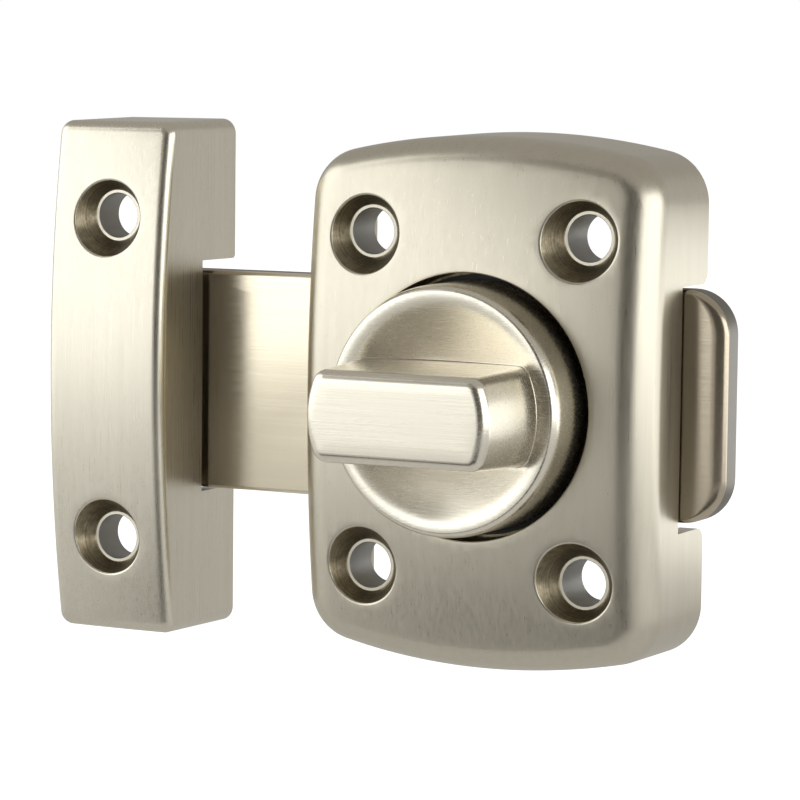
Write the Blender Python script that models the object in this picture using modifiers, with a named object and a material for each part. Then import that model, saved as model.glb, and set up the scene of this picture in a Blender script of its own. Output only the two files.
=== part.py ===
"""Sliding door bolt: a turn knob drives a flat bolt plate out of a cast housing into a cast keeper.

Everything is modelled lying on its back around the knob's axis: X to the right along the door,
Y up the door, Z out of the door, Z = 0 on the door's face. The empty lock_frame stands it upright.
"""
import math

import bmesh
import bpy
from mathutils import Matrix

MM = 0.001

# Fixings: countersunk screws, one pair in the keeper and two pairs in the housing
SCREW_PITCH_UP = 38.0 * MM
SCREW_PITCH_ACROSS = 26.6 * MM
SCREW_BORE = 5.2 * MM
SCREW_SEAT_RING = 0.42 * MM
COUNTERBORE_MOUTH = 9.0 * MM
COUNTERBORE_DEPTH = 2.5 * MM

# Castings
CROWN_RADIUS = 175.0 * MM
CASTING_WALL = 2.5 * MM
DRAFT_ANGLE = math.radians(1.0)
SHARPEST_CORNER = 0.2 * MM

# Housing
HOUSING_WIDTH = 43.8 * MM
HOUSING_HEIGHT = 60.4 * MM
HOUSING_THICKNESS = 17.3 * MM
HOUSING_END_RADIUS = 82.0 * MM
HOUSING_CORNER = 6.0 * MM
HOUSING_EDGE_FILLET = 3.8 * MM
HOUSING_END_FILLET = 2.9 * MM
HOUSING_CAVITY = 7.9 * MM
HOUSING_NOTCH_DEPTH = 6.95 * MM
HOUSING_NOTCH_HEIGHT = 27.4 * MM
HOUSING_NOTCH_CORNER = 1.5 * MM
RIB_THICKNESS = 1.8 * MM
RIB_SHORT_OF_DOOR = 0.3 * MM
RIB_BEHIND_NOTCH = 0.25 * MM
CORE_POCKET_WIDTH = 12.8 * MM
CORE_POCKET_HEIGHT = 9.6 * MM
CORE_POCKET_FLOOR = 13.0 * MM

# Keeper
KEEPER_WIDTH = 16.2 * MM
KEEPER_HEIGHT = 60.6 * MM
KEEPER_THICKNESS = 16.9 * MM
KEEPER_CORNER = 1.8 * MM
KEEPER_EDGE_FILLET = 1.3 * MM
KEEPER_CAVITY = 9.0 * MM
KEEPER_NOTCH_DEPTH = 7.4 * MM
KEEPER_NOTCH_CORNER = 0.5 * MM
KEEPER_RELIEF_DEPTH = 4.6 * MM
KEEPER_GAP_TO_HOUSING = 17.0 * MM
KEEPER_RISE = 0.8 * MM

# Bolt plate
PLATE_HEIGHT = 25.9 * MM
PLATE_THICKNESS = 3.7 * MM
PLATE_RISE = 0.4 * MM
PLATE_PAST_HOUSING = 5.0 * MM
PLATE_INTO_KEEPER = 4.0 * MM
PLATE_END_CORNER = 5.0 * MM
PLATE_TIP_CORNER = 1.5 * MM
PLATE_EDGE_BREAK = 0.25 * MM

# Knob
RECESS_RADIUS = 14.9 * MM
RECESS_EDGE_BREAK = 0.3 * MM
RECESS_FLOOR = 12.0 * MM
JOURNAL_RADIUS = 12.9 * MM
DISC_RADIUS = 14.4 * MM
DISC_RIM_HEIGHT = 23.3 * MM
DISC_RIM_WIDTH = 1.1 * MM
DISC_RIM_ROUND = 0.45 * MM
DISH_DEPTH = 1.8 * MM
DISH_LIP_ANGLE = math.radians(41.0)
GRIP_HEIGHT = 33.8 * MM
GRIP_BASE_RADIUS = 11.6 * MM
GRIP_FRONT_RADIUS = 10.9 * MM
GRIP_BASE_THICKNESS = 11.4 * MM
GRIP_FRONT_THICKNESS = 9.9 * MM
GRIP_CORNER = 1.4 * MM
GRIP_EDGE = 1.0 * MM
KNOB_CORE_RADIUS = 5.2 * MM
KNOB_CORE_DEPTH = 11.0 * MM

# Crank: a shoulder screw with a sleeve, off the knob's axis, that carries the plate along
CRANK_RADIUS = 9.0 * MM
CRANK_SCREW_RADIUS = 1.65 * MM
CRANK_SCREW_BITE = 5.0 * MM
CRANK_HEAD_RADIUS = 2.9 * MM
CRANK_HEAD_THICKNESS = 1.2 * MM
CRANK_HEAD_SLOT = 0.8 * MM
CRANK_HEAD_SLOT_DEPTH = 0.55 * MM
SLEEVE_WALL = 0.45 * MM
CRANK_WASHER_RADIUS = 3.5 * MM
CRANK_WASHER_THICKNESS = 0.5 * MM
FRICTION_WASHER_THICKNESS = 0.5 * MM

# Room between neighbouring pieces
CLEARANCE = 0.3 * MM

# Sizes that follow from those above
STROKE = 2.0 * CRANK_RADIUS
AXIS_ABOVE_ORIGIN = (HOUSING_HEIGHT - CASTING_WALL) / 2
KEEPER_X = -(HOUSING_WIDTH / 2 + KEEPER_GAP_TO_HOUSING + KEEPER_WIDTH / 2)
PLATE_FRONT = HOUSING_NOTCH_DEPTH - CLEARANCE
PLATE_BACK = PLATE_FRONT - PLATE_THICKNESS
JOURNAL_BACK = HOUSING_CAVITY
DISC_BACK = RECESS_FLOOR + FRICTION_WASHER_THICKNESS + 2 * CLEARANCE
JOURNAL_BORE = JOURNAL_RADIUS + CLEARANCE
SLEEVE_INNER = CRANK_SCREW_RADIUS + CLEARANCE
SLEEVE_OUTER = SLEEVE_INNER + SLEEVE_WALL
OVERCUT = 5.0 * MM

# Fineness of the curved surfaces
TURNED_STEPS = 72
SMALL_TURNED_STEPS = 32
SIDE_STEPS = 8
CORNER_STEPS = 5
END_STEPS = 6
FILLET_STEPS = 5
GRIP_EDGE_STEPS = 4
DISH_STEPS = 5
LIP_STEPS = 2
RIM_STEPS = 4


def clear_scene():
    for item in list(bpy.data.objects):
        bpy.data.objects.remove(item, do_unlink=True)


def make_collection(name):
    collection = bpy.data.collections.new(name)
    bpy.context.scene.collection.children.link(collection)
    return collection


def make_material(name, colour, metallic, roughness):
    material = bpy.data.materials.new(name)
    material.use_nodes = True
    shader = material.node_tree.nodes["Principled BSDF"]
    shader.inputs["Base Color"].default_value = (*colour, 1.0)
    shader.inputs["Metallic"].default_value = metallic
    shader.inputs["Roughness"].default_value = roughness
    material.diffuse_color = (*colour, 1.0)
    return material


def make_empty(name, collection, parent=None, location=(0.0, 0.0, 0.0), rotation=(0.0, 0.0, 0.0)):
    empty = bpy.data.objects.new(name, None)
    empty.empty_display_size = 0.01
    empty.location = location
    empty.rotation_euler = rotation
    empty.parent = parent
    collection.objects.link(empty)
    return empty


def make_object(name, mesh, collection, parent, location=(0.0, 0.0, 0.0), material=None):
    item = bpy.data.objects.new(name, mesh)
    item.location = location
    item.parent = parent
    if material:
        mesh.materials.append(material)
    collection.objects.link(item)
    return item


def finish_mesh(bm, name, smooth_angle=math.radians(30)):
    bmesh.ops.recalc_face_normals(bm, faces=bm.faces)
    mesh = bpy.data.meshes.new(name)
    bm.to_mesh(mesh)
    bm.free()
    mesh.shade_smooth()
    mesh.set_sharp_from_angle(angle=smooth_angle)
    return mesh


def make_cutter(name, mesh, parent, location=(0.0, 0.0, 0.0)):
    cutter = make_object(name, mesh, cutters, parent, location)
    cutter.hide_render = True
    cutter.display_type = "WIRE"
    return cutter


def boolean(item, other, operation):
    step = item.modifiers.new(f"{operation.lower()} {other.name}", "BOOLEAN")
    step.operation = operation
    step.solver = "EXACT"
    step.object = other


def box_mesh(name, size, centre=(0.0, 0.0, 0.0)):
    bm = bmesh.new()
    bmesh.ops.create_cube(bm, size=1.0, matrix=Matrix.Translation(centre) @ Matrix.Diagonal((*size, 1.0)))
    return finish_mesh(bm, name)


def turned_object(name, profile, collection, parent, location=(0.0, 0.0, 0.0), material=None,
                  steps=TURNED_STEPS, closed=False):
    """Turn a profile of (radius, height) points about Z. A closed profile makes a ring."""
    bm = bmesh.new()
    corners = [bm.verts.new((radius, 0.0, height)) for radius, height in profile]
    for start, end in zip(corners, corners[1:]):
        bm.edges.new((start, end))
    if closed:
        bm.edges.new((corners[-1], corners[0]))
    mesh = bpy.data.meshes.new(name)
    bm.to_mesh(mesh)
    bm.free()
    item = make_object(name, mesh, collection, parent, location, material)
    screw = item.modifiers.new("turn", "SCREW")
    screw.axis = "Z"
    screw.steps = steps
    screw.render_steps = steps
    screw.use_merge_vertices = True
    screw.merge_threshold = 0.00001
    screw.use_smooth_shade = True
    return item


def quarter_outline(half_width, half_height, end_radius, corner):
    """From the middle of the right side, up and over the corner, to the middle of the top."""
    if end_radius:
        arc_centre = half_height - end_radius
        corner_x = half_width - corner
        corner_y = arc_centre + math.sqrt((end_radius - corner) ** 2 - corner_x ** 2)
        turn = math.atan2(corner_y - arc_centre, corner_x)
    else:
        corner_x = half_width - corner
        corner_y = half_height - corner
        turn = math.pi / 2
    lean = math.atan2(corner_y, half_width)
    points = [(half_width, half_width * math.tan(lean * step / SIDE_STEPS)) for step in range(SIDE_STEPS)]
    for step in range(CORNER_STEPS):
        angle = turn * step / CORNER_STEPS
        points.append((corner_x + corner * math.cos(angle), corner_y + corner * math.sin(angle)))
    for step in range(END_STEPS + 1):
        share = step / END_STEPS
        if end_radius:
            angle = turn + (math.pi / 2 - turn) * share
            points.append((end_radius * math.cos(angle), arc_centre + end_radius * math.sin(angle)))
        else:
            points.append((corner_x * (1 - share), half_height))
    return points


def casting_outline(width, height, end_radius, corner, inset, end_inset=None):
    """Closed outline, counter-clockwise from the middle of the bottom, moved inwards by the insets."""
    if end_inset is None:
        end_inset = inset
    radius = end_radius - end_inset if end_radius else None
    inner_corner = max(corner - inset, SHARPEST_CORNER)
    quarter = quarter_outline(width / 2 - inset, height / 2 - end_inset, radius, inner_corner)
    bottom_right = [(x, -y) for x, y in reversed(quarter)]
    top_left = [(-x, y) for x, y in reversed(quarter)]
    bottom_left = [(-x, -y) for x, y in quarter]
    return bottom_right + quarter[1:] + top_left[1:] + bottom_left[1:-1]


def crown(x, y, thickness):
    """Height of the domed front face above the door."""
    return thickness - CROWN_RADIUS + math.sqrt(CROWN_RADIUS ** 2 - x ** 2 - y ** 2)


def casting_skin(width, height, end_radius, corner, thickness, fillet, end_fillet):
    """Rings of a casting's outside, from the door up the drafted side and over the front fillet.

    The fillet reaches in by fillet along the sides and by end_fillet along the top and bottom.
    """
    shape = (width, height, end_radius, corner)
    rings = [[(x, y, 0.0) for x, y in casting_outline(*shape, 0.0)]]
    lean = (thickness - fillet) * math.tan(DRAFT_ANGLE)
    for step in range(FILLET_STEPS + 1):
        angle = math.pi / 2 * step / FILLET_STEPS
        below_front = fillet * (1 - math.sin(angle))
        reach_in = 1 - math.cos(angle)
        outline = casting_outline(*shape, lean + fillet * reach_in, lean + end_fillet * reach_in)
        rings.append([(x, y, crown(x, y, thickness) - below_front) for x, y in outline])
    return rings


def cavity_rings(width, height, end_radius, corner, depth):
    """Rings of the hollow in a casting's back, from its floor down to the door."""
    outline = casting_outline(width, height, end_radius, corner, CASTING_WALL)
    return [[(x, y, depth) for x, y in outline], [(x, y, 0.0) for x, y in outline]]


def loft(bm, rings, closed):
    """Join rings of equal length with faces. A closed loft joins the last ring to the first."""
    loops = [[bm.verts.new(point) for point in ring] for ring in rings]
    count = len(loops[0])
    pairs = list(zip(loops, loops[1:]))
    if closed:
        pairs.append((loops[-1], loops[0]))
    for lower, upper in pairs:
        for index in range(count):
            following = (index + 1) % count
            bm.faces.new((lower[index], lower[following], upper[following], upper[index]))
    return loops


def ladder_cap(bm, loop):
    """Fill a left-to-right symmetric loop: one face at each end, and rungs across between them."""
    count = len(loop)
    half = count // 2
    end = END_STEPS + CORNER_STEPS
    bm.faces.new(loop[count - end:] + loop[:end + 1])
    bm.faces.new(loop[half - end:half + end + 1])
    for index in range(end, half - end):
        bm.faces.new((loop[index], loop[index + 1], loop[count - index - 1], loop[count - index]))


def add_screw_hole(casting, name, x, y, thickness, frame):
    """A tapered counterbore with a flat seat ring, and the clearance bore behind it."""
    mouth = crown(x, y, thickness)
    seat = mouth - COUNTERBORE_DEPTH
    bore = SCREW_BORE / 2
    seat_radius = bore + SCREW_SEAT_RING
    mouth_radius = COUNTERBORE_MOUTH / 2
    flare = (mouth_radius - seat_radius) / COUNTERBORE_DEPTH
    profile = [(0.0, mouth + OVERCUT), (mouth_radius + flare * OVERCUT, mouth + OVERCUT),
               (seat_radius, seat), (bore, seat), (bore, -OVERCUT), (0.0, -OVERCUT)]
    cutter = turned_object(name, profile, cutters, frame, (x, y, 0.0), steps=SMALL_TURNED_STEPS)
    cutter.hide_render = True
    cutter.display_type = "WIRE"
    boolean(casting, cutter, "DIFFERENCE")


def add_notch(casting, name, x, y, height, depth, corner, reach, frame):
    """A slot for the bolt plate through a side wall, open at the back, with rounded back corners."""
    bm = bmesh.new()
    half = height / 2
    outline = [(half, depth), (-half, depth)]
    for side in (-1, 1):
        arc = []
        for step in range(CORNER_STEPS + 1):
            angle = math.pi / 2 * step / CORNER_STEPS
            arc.append((side * (half + corner * (1 - math.cos(angle))), corner * (1 - math.sin(angle))))
        if side < 0:
            outline += arc + [(-half - corner, -OVERCUT)]
        else:
            outline += [(half + corner, -OVERCUT)] + arc[::-1]
    face = bm.faces.new([bm.verts.new((-reach / 2, up, out)) for up, out in outline])
    grown = bmesh.ops.extrude_face_region(bm, geom=[face])
    moved = [item for item in grown["geom"] if isinstance(item, bmesh.types.BMVert)]
    bmesh.ops.translate(bm, verts=moved, vec=(reach, 0.0, 0.0))
    cutter = make_cutter(name, finish_mesh(bm, name), frame, (x, y, 0.0))
    boolean(casting, cutter, "DIFFERENCE")


def build_housing(frame, material):
    shape = (HOUSING_WIDTH, HOUSING_HEIGHT, HOUSING_END_RADIUS, HOUSING_CORNER)
    rings = casting_skin(*shape, HOUSING_THICKNESS, HOUSING_EDGE_FILLET, HOUSING_END_FILLET)
    bearings = [math.atan2(y, x) for x, y, _ in rings[-1]]

    def circle(radius, height):
        return [(radius * math.cos(turn), radius * math.sin(turn), height) for turn in bearings]

    edge_radius = RECESS_RADIUS + RECESS_EDGE_BREAK
    edge_height = crown(edge_radius, 0.0, HOUSING_THICKNESS)
    edge = circle(edge_radius, edge_height)
    for share in (1 / 3, 2 / 3):
        between = []
        for outer, inner in zip(rings[FILLET_STEPS + 1], edge):
            x = outer[0] + (inner[0] - outer[0]) * share
            y = outer[1] + (inner[1] - outer[1]) * share
            between.append((x, y, crown(x, y, HOUSING_THICKNESS)))
        rings.append(between)
    rings.append(edge)
    rings.append(circle(RECESS_RADIUS, edge_height - RECESS_EDGE_BREAK))
    rings.append(circle(RECESS_RADIUS, RECESS_FLOOR))
    rings.append(circle(JOURNAL_BORE, RECESS_FLOOR))
    rings.append(circle(JOURNAL_BORE, HOUSING_CAVITY))
    rings += cavity_rings(*shape, HOUSING_CAVITY)

    bm = bmesh.new()
    loft(bm, rings, closed=True)
    housing = make_object("housing", finish_mesh(bm, "housing"), parts, frame, material=material)

    # Two ribs carry the plate's edges across the hollow and stiffen the back
    rib_length = HOUSING_WIDTH - CASTING_WALL
    rib_depth = HOUSING_CAVITY + CASTING_WALL / 2 - RIB_SHORT_OF_DOOR
    rib_up = (HOUSING_NOTCH_HEIGHT + RIB_THICKNESS) / 2 + RIB_BEHIND_NOTCH
    for side, where in ((1, "upper"), (-1, "lower")):
        name = f"{where}_rib"
        mesh = box_mesh(name, (rib_length, RIB_THICKNESS, rib_depth), (0.0, 0.0, rib_depth / 2))
        rib = make_cutter(name, mesh, frame, (0.0, side * rib_up, RIB_SHORT_OF_DOOR))
        boolean(housing, rib, "UNION")

    # Pockets core out the thick ends between the screw bosses
    pocket_reach = CORE_POCKET_FLOOR - HOUSING_CAVITY / 2
    pocket_up = HOUSING_HEIGHT / 2 - CASTING_WALL - CORE_POCKET_HEIGHT / 2 - 0.5 * MM
    for side, where in ((1, "upper"), (-1, "lower")):
        name = f"{where}_core_pocket"
        size = (CORE_POCKET_WIDTH, CORE_POCKET_HEIGHT, pocket_reach)
        mesh = box_mesh(name, size, (0.0, 0.0, CORE_POCKET_FLOOR - pocket_reach / 2))
        pocket = make_cutter(name, mesh, frame, (0.0, side * pocket_up, 0.0))
        boolean(housing, pocket, "DIFFERENCE")

    # The wall beside each notch is cut from just inside the hollow to past the outside
    notch_x = HOUSING_WIDTH / 2 - CASTING_WALL / 2
    for side, where in ((-1, "left"), (1, "right")):
        add_notch(housing, f"housing_{where}_notch", side * notch_x, 0.0, HOUSING_NOTCH_HEIGHT,
                  HOUSING_NOTCH_DEPTH, HOUSING_NOTCH_CORNER, 2 * CASTING_WALL, frame)

    for across, side in ((-1, "left"), (1, "right")):
        for up, level in ((-1, "lower"), (1, "upper")):
            add_screw_hole(housing, f"housing_screw_hole_{side}_{level}", across * SCREW_PITCH_ACROSS / 2,
                           up * SCREW_PITCH_UP / 2, HOUSING_THICKNESS, frame)
    return housing


def build_keeper(frame, material):
    """The keeper's own frame has its middle at the origin."""
    shape = (KEEPER_WIDTH, KEEPER_HEIGHT, None, KEEPER_CORNER)
    skin = casting_skin(*shape, KEEPER_THICKNESS, KEEPER_EDGE_FILLET, KEEPER_EDGE_FILLET)
    spine_inset = KEEPER_WIDTH / 4
    outline = casting_outline(*shape, spine_inset)
    skin.append([(x, y, crown(x, y, KEEPER_THICKNESS)) for x, y in outline])

    bm = bmesh.new()
    rings = cavity_rings(*shape, KEEPER_CAVITY) + skin
    loops = loft(bm, rings, closed=False)
    ladder_cap(bm, loops[0])
    ladder_cap(bm, loops[-1])
    keeper = make_object("keeper", finish_mesh(bm, "keeper"), parts, frame, material=material)

    notch_x = (KEEPER_WIDTH - CASTING_WALL) / 2
    add_notch(keeper, "keeper_notch", notch_x, 0.0, HOUSING_NOTCH_HEIGHT, KEEPER_NOTCH_DEPTH,
              KEEPER_NOTCH_CORNER, 2 * CASTING_WALL, frame)

    # The far wall stops short of the door behind the screws
    relief_height = SCREW_PITCH_UP + COUNTERBORE_MOUTH
    add_notch(keeper, "keeper_relief", -notch_x, 0.0, relief_height, KEEPER_RELIEF_DEPTH,
              KEEPER_NOTCH_CORNER, 2 * CASTING_WALL, frame)
    for up, where in ((1, "upper"), (-1, "lower")):
        add_screw_hole(keeper, f"keeper_screw_hole_{where}", 0.0, up * SCREW_PITCH_UP / 2,
                       KEEPER_THICKNESS, frame)
    return keeper


def crank_path_in_plate(turn):
    """Where the crank sits in the plate's own frame when the knob has turned by this angle."""
    travel = STROKE * turn / math.pi
    return -CRANK_RADIUS * math.cos(turn) - travel, CRANK_RADIUS * math.sin(turn)


def crank_slot_outline(radius, steps=28):
    """Outline that clears a sleeve of this radius all along the crank's path in the plate.

    The plate travels evenly with the knob's turn, so the path is a narrow leaf: up its left side
    while the crank rises, and down its right side while it comes back.
    """
    points = []
    for step in range(steps + 1):
        turn = math.pi * step / steps
        x, y = crank_path_in_plate(turn)
        along_x = CRANK_RADIUS * math.sin(turn) - STROKE / math.pi
        along_y = CRANK_RADIUS * math.cos(turn)
        length = math.hypot(along_x, along_y)
        points.append((x - along_y / length * radius, y + along_x / length * radius))
    # The leaf's pointed foot is closed by an arc round the rest place
    foot_x, foot_y = crank_path_in_plate(0.0)
    first = math.atan2(points[-1][1] - foot_y, points[-1][0] - foot_x)
    last = math.atan2(points[0][1] - foot_y, points[0][0] - foot_x)
    while last > first:
        last -= 2 * math.pi
    arc_steps = 10
    for step in range(1, arc_steps):
        angle = first + (last - first) * step / arc_steps
        points.append((foot_x + radius * math.cos(angle), foot_y + radius * math.sin(angle)))
    return points


def slab_mesh(name, outline, bottom, top):
    bm = bmesh.new()
    face = bm.faces.new([bm.verts.new((x, y, bottom)) for x, y in outline])
    grown = bmesh.ops.extrude_face_region(bm, geom=[face])
    moved = [item for item in grown["geom"] if isinstance(item, bmesh.types.BMVert)]
    bmesh.ops.translate(bm, verts=moved, vec=(0.0, 0.0, top - bottom))
    return finish_mesh(bm, name)


def plate_outline():
    """Counter-clockwise from the lower left corner."""
    left = KEEPER_X + KEEPER_WIDTH / 2 - PLATE_INTO_KEEPER
    right = HOUSING_WIDTH / 2 + PLATE_PAST_HOUSING
    bottom = PLATE_RISE - PLATE_HEIGHT / 2
    top = PLATE_RISE + PLATE_HEIGHT / 2
    corners = [(left, bottom, PLATE_TIP_CORNER, 1, 1, math.pi),
               (right, bottom, PLATE_END_CORNER, -1, 1, 1.5 * math.pi),
               (right, top, PLATE_END_CORNER, -1, -1, 0.0),
               (left, top, PLATE_TIP_CORNER, 1, -1, 0.5 * math.pi)]
    points = []
    steps = 2 * CORNER_STEPS
    for x, y, radius, inward_x, inward_y, start in corners:
        for step in range(steps + 1):
            angle = start + math.pi / 2 * step / steps
            points.append((x + inward_x * radius + radius * math.cos(angle),
                           y + inward_y * radius + radius * math.sin(angle)))
    return points


def build_bolt_plate(frame, material):
    mesh = slab_mesh("bolt_plate", plate_outline(), PLATE_BACK, PLATE_FRONT)
    plate = make_object("bolt_plate", mesh, parts, frame, material=material)
    outline = crank_slot_outline(SLEEVE_OUTER + CLEARANCE)
    slot_mesh = slab_mesh("crank_slot", outline, PLATE_BACK - OVERCUT, PLATE_FRONT + OVERCUT)
    boolean(plate, make_cutter("crank_slot", slot_mesh, frame), "DIFFERENCE")
    soften = plate.modifiers.new("edge break", "BEVEL")
    soften.width = PLATE_EDGE_BREAK
    soften.segments = 1
    soften.limit_method = "ANGLE"
    soften.angle_limit = math.radians(60)
    return plate


def grip_mesh(base):
    """A bar across the disc with tapered sides, and with ends that follow the disc's round."""
    def ring(thickness, radius, inset, height):
        outline = casting_outline(thickness, 2 * radius, radius, GRIP_CORNER, inset)
        return [(x, y, height) for y, x in outline]

    rings = [ring(GRIP_BASE_THICKNESS, GRIP_BASE_RADIUS, 0.0, base)]
    for step in range(GRIP_EDGE_STEPS + 1):
        angle = math.pi / 2 * step / GRIP_EDGE_STEPS
        inset = GRIP_EDGE * (1 - math.cos(angle))
        height = GRIP_HEIGHT - GRIP_EDGE * (1 - math.sin(angle))
        rings.append(ring(GRIP_FRONT_THICKNESS, GRIP_FRONT_RADIUS, inset, height))
    bm = bmesh.new()
    loops = loft(bm, rings, closed=False)
    ladder_cap(bm, loops[0])
    ladder_cap(bm, loops[-1])
    return finish_mesh(bm, "grip")


def dish_profile():
    """The disc's front from its middle: a flat floor, a bowl up to the lip, and a rounded rim."""
    floor = DISC_RIM_HEIGHT - DISH_DEPTH
    round_height = DISC_RIM_HEIGHT - DISC_RIM_ROUND
    inner_round = DISC_RADIUS - DISC_RIM_WIDTH + DISC_RIM_ROUND
    outer_round = DISC_RADIUS - DISC_RIM_ROUND
    lip_radius = inner_round - DISC_RIM_ROUND * math.sin(DISH_LIP_ANGLE)
    lip_height = round_height + DISC_RIM_ROUND * math.cos(DISH_LIP_ANGLE)
    bowl = (lip_height - floor) / (1 - math.cos(DISH_LIP_ANGLE))
    bowl_start = lip_radius - bowl * math.sin(DISH_LIP_ANGLE)

    profile = [(0.0, floor)]
    for step in range(DISH_STEPS + 1):
        angle = DISH_LIP_ANGLE * step / DISH_STEPS
        profile.append((bowl_start + bowl * math.sin(angle), floor + bowl * (1 - math.cos(angle))))
    for step in range(1, LIP_STEPS + 1):
        angle = DISH_LIP_ANGLE * (1 - step / LIP_STEPS)
        profile.append((inner_round - DISC_RIM_ROUND * math.sin(angle),
                        round_height + DISC_RIM_ROUND * math.cos(angle)))
    for step in range(RIM_STEPS + 1):
        angle = math.pi / 2 * step / RIM_STEPS
        profile.append((outer_round + DISC_RIM_ROUND * math.sin(angle),
                        round_height + DISC_RIM_ROUND * math.cos(angle)))
    return profile


def build_knob(axis, material):
    profile = dish_profile()
    profile += [(DISC_RADIUS, DISC_BACK), (JOURNAL_RADIUS, DISC_BACK), (JOURNAL_RADIUS, JOURNAL_BACK),
                (KNOB_CORE_RADIUS, JOURNAL_BACK), (KNOB_CORE_RADIUS, JOURNAL_BACK + KNOB_CORE_DEPTH),
                (0.0, JOURNAL_BACK + KNOB_CORE_DEPTH)]
    knob = turned_object("knob", profile, parts, axis, material=material)

    grip = make_cutter("grip", grip_mesh(DISC_RIM_HEIGHT - DISH_DEPTH - CLEARANCE), axis)
    boolean(knob, grip, "UNION")

    # Threaded seat for the crank screw, left of the axis while the bolt is out
    seat_top = JOURNAL_BACK + CRANK_SCREW_BITE + CLEARANCE
    seat_radius = CRANK_SCREW_RADIUS + CLEARANCE
    seat_profile = [(0.0, seat_top), (seat_radius, seat_top), (seat_radius, JOURNAL_BACK - OVERCUT),
                    (0.0, JOURNAL_BACK - OVERCUT)]
    seat = turned_object("crank_seat", seat_profile, cutters, axis, (-CRANK_RADIUS, 0.0, 0.0),
                         steps=SMALL_TURNED_STEPS)
    seat.hide_render = True
    seat.display_type = "WIRE"
    boolean(knob, seat, "DIFFERENCE")
    return knob


def ring_object(name, inner, outer, bottom, top, parent, location, material, steps):
    profile = [(inner, top), (outer, top), (outer, bottom), (inner, bottom)]
    return turned_object(name, profile, parts, parent, location, material, steps, closed=True)


def build_crank(axis, steel, sleeve_material):
    place = (-CRANK_RADIUS, 0.0, 0.0)
    washer_top = PLATE_BACK - CLEARANCE
    washer_bottom = washer_top - CRANK_WASHER_THICKNESS
    head_top = washer_bottom - CLEARANCE
    head_bottom = head_top - CRANK_HEAD_THICKNESS
    screw_top = JOURNAL_BACK + CRANK_SCREW_BITE
    profile = [(0.0, screw_top), (CRANK_SCREW_RADIUS, screw_top), (CRANK_SCREW_RADIUS, head_top),
               (CRANK_HEAD_RADIUS, head_top), (CRANK_HEAD_RADIUS, head_bottom), (0.0, head_bottom)]
    screw = turned_object("crank_screw", profile, parts, axis, place, steel, SMALL_TURNED_STEPS)
    slot_size = (3 * CRANK_HEAD_RADIUS, CRANK_HEAD_SLOT, 2 * CRANK_HEAD_SLOT_DEPTH)
    slot = make_cutter("crank_screw_slot", box_mesh("crank_screw_slot", slot_size), axis,
                       (-CRANK_RADIUS, 0.0, head_bottom))
    boolean(screw, slot, "DIFFERENCE")

    ring_object("crank_washer", SLEEVE_INNER, CRANK_WASHER_RADIUS, washer_bottom, washer_top, axis, place,
                steel, SMALL_TURNED_STEPS)
    ring_object("crank_sleeve", SLEEVE_INNER, SLEEVE_OUTER, PLATE_BACK, JOURNAL_BACK - CLEARANCE, axis,
                place, sleeve_material, SMALL_TURNED_STEPS)


def build_friction_washer(frame, material):
    bottom = RECESS_FLOOR + CLEARANCE
    ring_object("friction_washer", JOURNAL_BORE, RECESS_RADIUS - CLEARANCE, bottom,
                bottom + FRICTION_WASHER_THICKNESS, frame, (0.0, 0.0, 0.0), material, TURNED_STEPS)


clear_scene()
parts = make_collection("sliding_door_bolt")
cutters = make_collection("cutters")

nickel = make_material("satin nickel casting", (0.72, 0.69, 0.64), 1.0, 0.38)
plate_metal = make_material("brushed bolt plate", (0.74, 0.68, 0.58), 1.0, 0.34)
steel_metal = make_material("plain steel", (0.55, 0.55, 0.56), 1.0, 0.3)
bronze = make_material("sleeve bronze", (0.62, 0.46, 0.27), 1.0, 0.35)
nylon = make_material("black nylon", (0.03, 0.03, 0.03), 0.0, 0.5)

lock_frame = make_empty("lock_frame", parts, location=(0.0, 0.0, AXIS_ABOVE_ORIGIN),
                        rotation=(math.pi / 2, 0.0, 0.0))
knob_axis = make_empty("knob_axis", parts, parent=lock_frame)
keeper_frame = make_empty("keeper_frame", parts, parent=lock_frame, location=(KEEPER_X, KEEPER_RISE, 0.0))

build_housing(lock_frame, nickel)
build_keeper(keeper_frame, nickel)
build_bolt_plate(lock_frame, plate_metal)
build_knob(knob_axis, nickel)
build_crank(knob_axis, steel_metal, bronze)
build_friction_washer(lock_frame, nylon)
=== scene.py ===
"""Finish and studio view of the sliding door bolt: brushed satin nickel castings on a white ground.

Fine pieces are made as in a maker's drawing, lying on their backs round the knob's axis: x along
the door, up along the door's height, out from the door's face. stand() sets such a point upright.
"""
import math

import bmesh
import bpy
from mathutils import Matrix, Vector
from mathutils.geometry import delaunay_2d_cdt


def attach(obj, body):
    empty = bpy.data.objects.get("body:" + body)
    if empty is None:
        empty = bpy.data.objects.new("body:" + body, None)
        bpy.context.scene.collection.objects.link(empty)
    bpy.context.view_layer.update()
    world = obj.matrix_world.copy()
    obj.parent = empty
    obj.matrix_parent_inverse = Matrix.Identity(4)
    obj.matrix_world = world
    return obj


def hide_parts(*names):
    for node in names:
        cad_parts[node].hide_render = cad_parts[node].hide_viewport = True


MM = 0.001

# Castings
SCREW_PITCH_UP = 38.0 * MM
SCREW_PITCH_ACROSS = 26.6 * MM
SCREW_BORE = 2.6 * MM
SEAT_RADIUS = 3.02 * MM
MOUTH_RADIUS = 4.5 * MM
COUNTERBORE_DEPTH = 2.5 * MM
CROWN_RADIUS = 175.0 * MM
WALL = 2.2 * MM
DRAFT = math.radians(1.0)

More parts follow.
